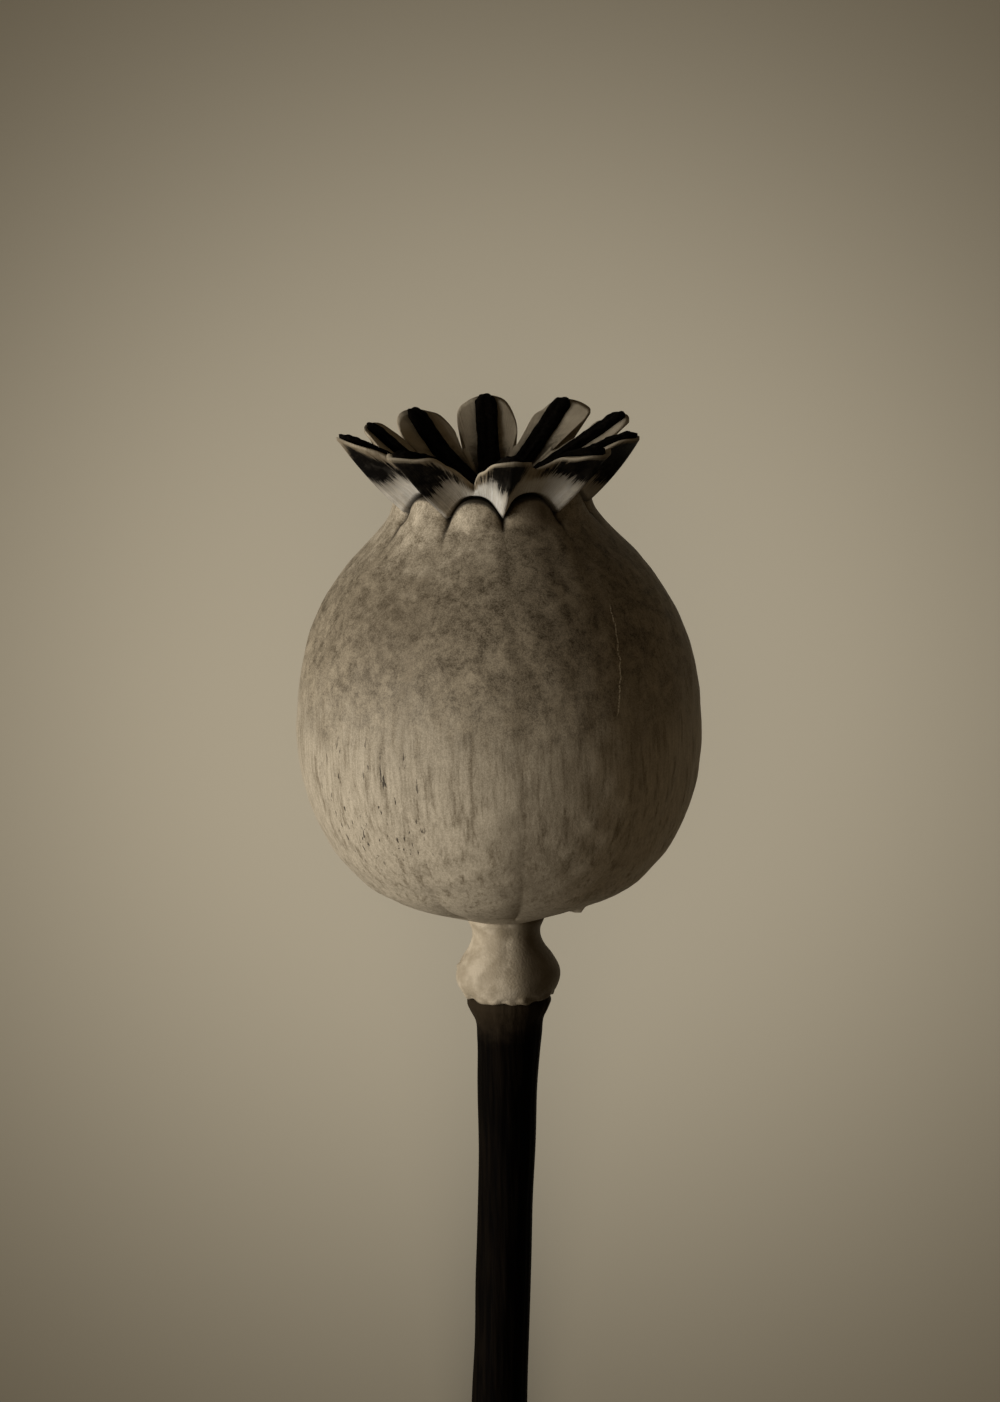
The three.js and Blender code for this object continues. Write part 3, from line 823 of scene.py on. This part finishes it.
# %% Join up a finish
class Finish:
    def __init__(self, name):
        self.material = bpy.data.materials.new(name)
        self.material.use_nodes = True
        self.tree = self.material.node_tree
        self.tree.nodes.clear()

    def node(self, kind, settings=None, inputs=None, output=0):
        made = self.tree.nodes.new("ShaderNode" + kind)
        for name, value in (settings or {}).items():
            setattr(made, name, value)
        for name, value in (inputs or {}).items():
            if isinstance(value, Wire):
                self.tree.links.new(value.socket, made.inputs[name])
            else:
                made.inputs[name].default_value = value
        return Wire(self, made.outputs[output]) if made.outputs else made

    def mix(self, share, first, second):
        """Mixes two colours, through the colour sockets of a Mix node."""
        first, second = [shade if isinstance(shade, Wire) else (*shade, 1)
                         for shade in (first, second)]
        return self.node("Mix", {"data_type": "RGBA"}, {0: share, 6: first, 7: second}, output=2)

    def recall(self, name, output="Fac"):
        """A number that the piece's corners remember, or with Vector three of them."""
        return self.node("Attribute", {"attribute_name": name}, output=output)

    def head_places(self):
        """Object coordinates, turned into the upright head's own frame, in millimetres."""
        back = lay_down.inverted()
        return self.node("Mapping", {"vector_type": "POINT"}, {
            "Vector": self.node("TexCoord", output="Object"),
            "Location": back.translation / MM,
            "Rotation": tuple(back.to_euler()),
            "Scale": (1 / MM, 1 / MM, 1 / MM),
        })

    def axes(self, places):
        across = self.node("SeparateXYZ", {}, {0: places})
        return [Wire(self, socket) for socket in across.socket.node.outputs]

    def noise(self, places, scale, detail, roughness=0.5, distortion=0.0):
        """A scale for each axis draws the noise out along the one with the smallest."""
        if isinstance(scale, tuple):
            places = self.node("Mapping", {}, {"Vector": places, "Scale": scale})
            scale = 1.0
        inputs = {"Vector": places, "Scale": scale, "Detail": detail,
                  "Roughness": roughness, "Distortion": distortion}
        return self.node("TexNoise", {}, inputs)

    def skin(self, shade, roughness, shine, relief, depth):
        """The skin's own shader. Depth is in millimetres, for a relief of 1."""
        bump = {"Height": relief, "Distance": depth * MM, "Strength": 1.0}
        return self.node("BsdfPrincipled", {}, {
            "Base Color": shade,
            "Roughness": roughness,
            "Specular IOR Level": shine,
            "Normal": self.node("Bump", {}, bump, output="Normal"),
        })

    def coat(self, piece, shader):
        self.node("OutputMaterial", {}, {"Surface": shader})
        piece.data.materials.clear()
        piece.data.materials.append(self.material)
        print(f"{self.material.name}: {len(self.tree.nodes)} nodes, on {piece.name}")


print("a finish can make:", ", ".join(name for name in vars(Finish) if name[0] != "_"))

# %% [markdown]
# A ripe pod is dry and matt under a pale waxy bloom. The bloom is worn into fine lengthwise
# streaks below and into mottling above, and it is palest in a collar under the crown, on the left,
# where that paleness is partly painted light on the lit side. Where one passes into the next could
# be a straight line, but slow clouds make it waver.

# %% Mix the pod's ground
# a dark shade for the flaked dashes, and for painted shade in the creases, the groove and the
# crown's foot
DARK_MARK_AND_SHADE = (0.03, 0.022, 0.014)
# a brown for the threads along the seams, and for painted shade where the pod is darkened
SEAM_AND_SHADE_BROWN = (0.13, 0.1, 0.063)


def pod_ground(finish, places, height, mottle, grain):
    clouds = finish.noise(places, 0.24, 4, 0.6, 0.5)
    patches = finish.noise(places, 0.45, 4, 0.6, 0.6)
    speckle = finish.noise(places, 9, 2, 0.6).between(0.35, 0.65)
    streaks = finish.noise(places, (1.2, 1.2, 0.17), 5, 0.6, 0.2)
    threads = finish.noise(places, (3.2, 3.2, 0.22), 4, 0.6, 0.1)
    grains = grain.between(0.34, 0.66)
    mottled = mottle.between(0.33, 0.67) * 0.43 + grains * 0.3
    mottled = mottled + patches.between(0.34, 0.66) * 0.35 + speckle * 0.2 - 0.14
    streaked = streaks.between(0.3, 0.52) * 0.5 + threads.between(0.34, 0.66) * 0.3
    streaked = streaked + grains * 0.25 + speckle * 0.15 - 0.13
    lower_shade = finish.mix(streaked, (0.19, 0.153, 0.102), (0.56, 0.49, 0.38))
    upper_shade = finish.mix(mottled, (0.075, 0.057, 0.035), (0.41, 0.345, 0.25))
    collar_shade = finish.mix(mottled, (0.16, 0.128, 0.083), (0.6, 0.52, 0.4))
    wavering = height + clouds * 14 - 7
    shade = finish.mix(wavering.between(15, 30), lower_shade, upper_shade)
    # darker places, with painted shade on the arches right of the front keel
    shade = finish.mix(finish.recall("dull_and_shaded") * 0.4, shade, SEAM_AND_SHADE_BROWN)
    # the pale collar, real bloom with painted light, only on the lit left side
    collar = wavering.between(35, 41) * finish.recall("bloom_and_lit_side")
    return finish.mix(collar, shade, collar_shade)


print("dirt reflects", round(sum(DARK_MARK_AND_SHADE) / 3, 3), "of the light that falls on it")

# %% [markdown]
# On the ground come small marks: dark dashes at lower left, where the bloom has flaked, and a fine
# pale scratch on the right. A dark thread follows each seam, and painted shade darkens the crease
# at its top and the groove under the crown. They are masks on noise and on what the corners
# remember, because painted marks would need an image.

# %% Mark the pod, and paint shade in its creases and under the crown
DEGREES = 57.3  # in a radian
DASH_TURN, DASH_HEIGHT = -42, 15
SCRATCH_TURN, SCRATCH_HEIGHT, SCRATCH_SLANT = 35.3, 23.5, 0.78  # where it crosses a height
SCRATCH_MIDDLE = 28.5


def pod_marks(finish, shade, places, axes, grain):
    across, depth, height = axes
    turn = finish.node("Math", {"operation": "ARCTAN2"}, {0: across, 1: 0 - depth}) * DEGREES
    dashes = finish.noise(places, (3.0, 3.0, 0.6), 2, 0.5).between(0.655, 0.685)
    dashes = dashes * (1 - abs(turn - DASH_TURN).between(14, 26))
    dashes = dashes * (1 - abs(height - DASH_HEIGHT).between(5, 8))
    shade = finish.mix(dashes * 0.9, shade, DARK_MARK_AND_SHADE)
    wander = (finish.noise(places, (0, 0, 0.9), 3, 0.6) - 0.5) * 3
    off_scratch = abs(turn - SCRATCH_TURN - (height - SCRATCH_HEIGHT) * SCRATCH_SLANT + wander)
    scratch = 1 - off_scratch.between(0.15, 0.34)
    scratch = scratch * (1 - abs(height - SCRATCH_MIDDLE).between(4.5, 5.2))
    return finish.mix(scratch * grain.between(0.4, 0.5) * 0.9, shade, (0.95, 0.88, 0.74))


def pod_seams_and_shade(finish, shade, mottle, grain):
    from_seam = finish.recall("seam_distance")
    seam_line = (1 - from_seam.between(0.1, 1.2)) * mottle.between(0.4, 0.65)
    shade = finish.mix(seam_line * 0.3, shade, SEAM_AND_SHADE_BROWN)
    past_crease = finish.recall("rim_distance") / finish.recall("crease_length")
    # painted shade in the crease at the top of each seam
    crease = (1 - from_seam.between(0.0, 0.4)) * (1 - past_crease.between(0.5, 1.2))
    shade = finish.mix(crease * 0.85, shade, DARK_MARK_AND_SHADE)
    # painted shade in the groove between the pod and the crown's foot
    groove = 1 - (finish.recall("rim_gap") + (grain - 0.5) * 0.15).between(0.14, 0.48)
    return finish.mix(groove * 0.9, shade, (0.015, 0.011, 0.007))


def finish_pod():
    finish = Finish("pod_bloom")
    places = finish.head_places()
    axes = finish.axes(places)
    mottle = finish.noise(places, 1.0, 5, 0.65, 0.3)
    grain = finish.noise(places, 4.5, 3, 0.75)
    shade = pod_ground(finish, places, axes[2], mottle, grain)
    shade = pod_marks(finish, shade, places, axes, grain)
    shade = pod_seams_and_shade(finish, shade, mottle, grain)
    relief = grain * 0.5 + mottle * 0.5
    finish.coat(pod, finish.skin(shade, 0.6 + grain * 0.12, 0.25, relief, 0.07))


finish_pod()

# %% [markdown]
# The crown's membrane is papery. Its outer faces are pale and fibrous at the foot and brown above,
# with a near black spot on the keel whose margin frays along the fibres, and with painted shade
# along their lowest edge, over the groove. The inner face is thin and veined, painted paler than
# it is to stand in for light that comes through it, darker by the ray, and darker towards the
# middle as painted shade. Light comes a little way through. Subsurface scattering would be slow
# for that, so a little translucent shader is mixed in, and none where the spot is.

# %% Finish the crown
CROWN_GLOW = 0.2


def crown_outer_face(finish, outwards, strands, mottle, grain):
    """The shade of the outer face, and where its spot is."""
    patchy = mottle.between(0.3, 0.7)
    white = finish.mix(strands * 0.9 + grain * 0.35, (0.5, 0.44, 0.34), (1.0, 1.0, 0.97))
    tan = finish.mix(patchy, (0.23, 0.185, 0.125), (0.58, 0.5, 0.39))
    # paleness, with painted light on some facets
    pale = finish.mix(finish.recall("paleness_and_light"), tan, white)
    brown = finish.mix(patchy, (0.21, 0.166, 0.11), (0.55, 0.47, 0.355))
    ragged = outwards + (strands - 0.5) * 0.3 + (mottle - 0.5) * 0.5
    face = finish.mix(ragged.between(0.45, 0.75), pale, brown)
    frayed = finish.recall("spot") + (strands - 0.5) * 0.7 + (mottle - 0.5) * 0.4
    face = finish.mix(frayed.between(-0.5, 0.1) * 0.6, face, (0.1, 0.075, 0.046))
    spot = frayed.between(-0.08, 0.18)
    face = finish.mix(spot * (0.84 + mottle * 0.3), face, (0.002, 0.0013, 0.0008))
    margin = (outwards + (grain - 0.5) * 0.05).between(0.95, 0.99)
    face = finish.mix(margin * 0.3, face, (0.36, 0.3, 0.21))
    # the lowest edge of the outer face, over the groove, darkened as painted shade
    foot = 1 - (outwards + (grain - 0.5) * 0.06).between(0.0, 0.05)
    return finish.mix(foot * 0.6, face, DARK_MARK_AND_SHADE), spot


def crown_inner_face(finish, outwards, strands, mottle):
    # paler colours than the membrane's own, painted light that stands in for light coming through
    # from behind
    inner = finish.mix(strands * 0.3 + mottle * 0.5, (0.5, 0.42, 0.305), (0.98, 0.88, 0.7))
    from_ray = abs(finish.recall("from_keel")) + (mottle - 0.5)
    inner = finish.mix((1 - from_ray.between(0.9, 1.9)) * 0.45, inner, (0.07, 0.052, 0.033))
    # darker towards the middle, deep in the crown, as painted shade
    funnel_shade = 1 - (outwards + (mottle - 0.5) * 0.3).between(0.5, 0.78)
    return finish.mix(funnel_shade * 0.85, inner, (0.02, 0.014, 0.008))


def finish_crown():
    finish = Finish("crown_membrane")
    places = finish.head_places()
    outer = finish.recall("outer_face")
    outwards = finish.recall("outwards")
    fibre = finish.recall("fibre", "Vector")
    strands = finish.noise(fibre, (14, 14, 1.6), 4, 0.7).between(0.3, 0.7)
    tufts = finish.noise(fibre, (3.5, 3.5, 1.2), 3, 0.6)
    strands = strands * 0.6 + tufts * 0.4
    mottle = finish.noise(places, 1.1, 4, 0.6, 0.4)
    grain = finish.noise(places, 6.0, 3, 0.6)
    face, spot = crown_outer_face(finish, outwards, strands, mottle, grain)
    inner = crown_inner_face(finish, outwards, strands, mottle)
    skin = finish.skin(finish.mix(outer, inner, face), 0.6 + grain * 0.15, 0.08, strands, 0.05)
    glow = finish.node("BsdfTranslucent", {}, {"Color": (0.5, 0.42, 0.3, 1)})
    share = (1 - spot * outer) * CROWN_GLOW
    finish.coat(crown, finish.node("MixShader", {}, {0: share, 1: skin, 2: glow}))


finish_crown()

# %% [markdown]
# The rays are a dense dark nap that swallows light. Real hairs would be far too many, so the
# finish is nearly black and fully rough, with a fine bump.

# %% Finish the rays
def finish_rays():
    finish = Finish("ray_velvet")
    nap = finish.noise(finish.head_places(), 3.2, 5, 0.7)
    shade = finish.mix(nap.between(0.35, 0.7), (0.0008, 0.0005, 0.0003), (0.006, 0.004, 0.0025))
    finish.coat(rays, finish.skin(shade, 0.95, 0.05, nap, 0.12))


finish_rays()

# %% [markdown]
# The ring is smooth and pale, with soft clouds. Its right side, away from the light, is darkened
# with painted shade, a faint stain runs down its front, and the torn margin below is brown. These
# are masks on the head's own places.

# %% Finish the ring
def finish_ring():
    finish = Finish("ring_skin")
    places = finish.head_places()
    across, depth, height = finish.axes(places)
    clouds = finish.noise(places, 0.5, 4, 0.55)
    shade = finish.mix(clouds.between(0.35, 0.65), (0.36, 0.3, 0.215), (0.54, 0.465, 0.355))
    # the right side, away from the light, darkened as painted shade
    shaded_right = (across + clouds * 3 - 1.5).between(0.3, 2.2) * (1 - depth.between(0.0, 3.0))
    shade = finish.mix(shaded_right * 0.75, shade, (0.14, 0.108, 0.068))
    stain = 1 - abs(across + 0.4 + clouds * 2 - 1).between(0.2, 0.9)
    stain = stain * height.between(-5.5, -3) * (1 - depth.between(-1, 1))
    shade = finish.mix(stain * 0.4, shade, (0.16, 0.125, 0.08))
    torn = 1 - (height + clouds).between(-7.6, -7.2)
    shade = finish.mix(torn * 0.5, shade, (0.2, 0.16, 0.105))
    relief = finish.noise(places, 4, 4)
    finish.coat(ring, finish.skin(shade, 0.6 + clouds * 0.1, 0.3, relief, 0.05))


finish_ring()

# %% [markdown]
# The stem's skin is nearly black and faintly lined along its length, and it fades to brown by
# the collar, at a margin that noise makes uneven.

# %% Finish the stem
def finish_stem():
    finish = Finish("stem_skin")
    places = finish.head_places()
    height = finish.axes(places)[2]
    lines = finish.noise(places, (2.2, 2.2, 0.12), 5, 0.6)
    shade = finish.mix(lines.between(0.35, 0.7), (0.001, 0.0006, 0.0004), (0.005, 0.0033, 0.002))
    collar = (height + finish.noise(places, 0.9, 4, 0.6) * 3).between(-11.5, -7.5)
    shade = finish.mix(collar * 0.8, shade, (0.035, 0.025, 0.015))
    finish.coat(stem, finish.skin(shade, 0.65 + lines * 0.15, 0.02, lines, 0.08))


finish_stem()

# %% [markdown]
# The floor is a plain pale sheet, well past the picture's edges, with the head lying on it.

# %% Lay the floor
FLOOR_SIDE = 3.0
deselect_everything()
bpy.ops.mesh.primitive_plane_add(size=FLOOR_SIDE, location=(0, 0, 0))
floor = bpy.context.object
floor.name = "floor"

paper = Finish("floor_paper")
paper.coat(floor, paper.node("BsdfPrincipled", {}, {
    "Base Color": (0.5, 0.455, 0.36, 1),
    "Roughness": 0.9,
    "Specular IOR Level": 0.1,
}))

# %% [markdown]
# The camera looks down on the head, from 12.5 degrees above the pod's equator as the head was
# when it stood. So its place is worked out upright, and then turned with the head.

# %% Set the camera
def into_scene(name, data):
    made = bpy.data.objects.new(name, data)
    bpy.context.scene.collection.objects.link(made)
    return made


AIM = Vector((0.15, 0, 21.8))  # the point of the upright head that the picture is centred on
CAMERA_DISTANCE = 500
CAMERA_RISE = math.radians(12.5)
CAMERA_ROLL = math.radians(2)
SENSOR_WIDTH = 36
LENS = 182.2

backwards = Vector((0, -math.cos(CAMERA_RISE), math.sin(CAMERA_RISE)))
upwards = Vector((0, math.sin(CAMERA_RISE), math.cos(CAMERA_RISE)))
sideways = Vector((1, 0, 0))
camera_right = math.cos(CAMERA_ROLL) * sideways - math.sin(CAMERA_ROLL) * upwards
camera_up = math.sin(CAMERA_ROLL) * sideways + math.cos(CAMERA_ROLL) * upwards
camera_turn = Matrix((camera_right, camera_up, backwards)).transposed().to_4x4()
camera_place = Matrix.Translation((AIM + backwards * CAMERA_DISTANCE) * MM)

camera_data = bpy.data.cameras.new("camera")
camera_data.sensor_fit = "HORIZONTAL"
camera_data.sensor_width = SENSOR_WIDTH
camera_data.lens = LENS
camera_data.clip_start = 0.01
camera = into_scene("camera", camera_data)
camera.matrix_world = lay_down @ camera_place @ camera_turn
bpy.context.scene.camera = camera
print("camera at", camera.matrix_world.translation)

# %% [markdown]
# The light is one large soft panel on the left, as from a window, with a faint warm fill from
# above. A third panel, straight overhead, is for the floor alone.

# %% Light the head
def soft_panel(name, place, aim, side, power, colour):
    data = bpy.data.lights.new(name, "AREA")
    data.shape = "SQUARE"
    data.size = side
    data.energy = power
    data.color = colour
    panel = into_scene(name, data)
    panel.location = place
    direction = Vector(aim) - Vector(place)
    panel.rotation_euler = direction.to_track_quat("-Z", "Y").to_euler()
    print(f"{name}: {power} W from {direction.length:.2f} m away")
    return panel


HEAD_AIM = (0, 0.02, 0.02)
FLOOR_AIM = (0, 0.02, 0)
key = soft_panel("key_panel", (-0.72, -0.01, 0.36), HEAD_AIM, 0.55, 6.9, (1, 0.95, 0.86))
fill = soft_panel("fill_panel", (0.35, -0.26, 0.77), HEAD_AIM, 0.6, 0.32, (1, 0.8, 0.55))
floor_panel = soft_panel("floor_panel", (0, 0.02, 0.7), FLOOR_AIM, 0.9, 1.1, (1, 0.92, 0.78))

# %% [markdown]
# The floor is brightest round the head, where a wide soft beam falls straight down on it. Its
# middle is the place on the floor that the camera sees behind the head.

# %% Light the floor round the head
BEAM_HEIGHT = 0.11
BEAM_REACH = 0.12  # radius on the floor where the beam has faded out
view_line = (lay_down.to_3x3() @ backwards).normalized()
head_middle = lay_down @ (AIM * MM)
seen_floor = head_middle - view_line * (head_middle.z / view_line.z)

beam_data = bpy.data.lights.new("floor_beam", "SPOT")
beam_data.energy = 0.31
beam_data.color = (1, 0.97, 0.92)
beam_data.spot_size = 2 * math.atan(BEAM_REACH / BEAM_HEIGHT)
beam_data.spot_blend = 1
beam_data.shadow_soft_size = 0.005
beam = into_scene("floor_beam", beam_data)
beam.location = seen_floor + Vector((0, 0, BEAM_HEIGHT))
beam.visible_camera = False
print("the beam meets the floor at", seen_floor)

# %% [markdown]
# The head is in side light, in front of an evenly lit ground. One set of lights can't do both,
# so light linking gives each light its own pieces, and no light comes back off the floor. A
# faint warm world fills the deepest shadows.

# %% Choose what each light falls on
def gathered(name, *pieces):
    """A collection of pieces, which a light can be linked to."""
    collection = bpy.data.collections.new(name)
    for piece in pieces:
        collection.objects.link(piece)
    return collection


key.light_linking.receiver_collection = gathered("lit_by_the_key", pod, crown, rays, ring, stem)
fill.light_linking.receiver_collection = gathered("lit_by_the_fill", pod, crown, rays)
floor_panel.light_linking.receiver_collection = gathered("lit_from_above", floor)
beam.light_linking.receiver_collection = gathered("lit_by_the_beam", floor)
beam.light_linking.blocker_collection = gathered("shades_the_beam", floor)
floor.visible_diffuse = False

world = bpy.data.worlds.new("studio")
world.use_nodes = True
background = world.node_tree.nodes["Background"]
background.inputs["Color"].default_value = (1, 0.75, 0.45, 1)
background.inputs["Strength"].default_value = 0.04
bpy.context.scene.world = world
bpy.context.scene.view_settings.view_transform = "Standard"
print("collections for the lights:", ", ".join(sorted(bpy.data.collections.keys())))

# %% [markdown]
# The pieces have to fill the same box as the solids.
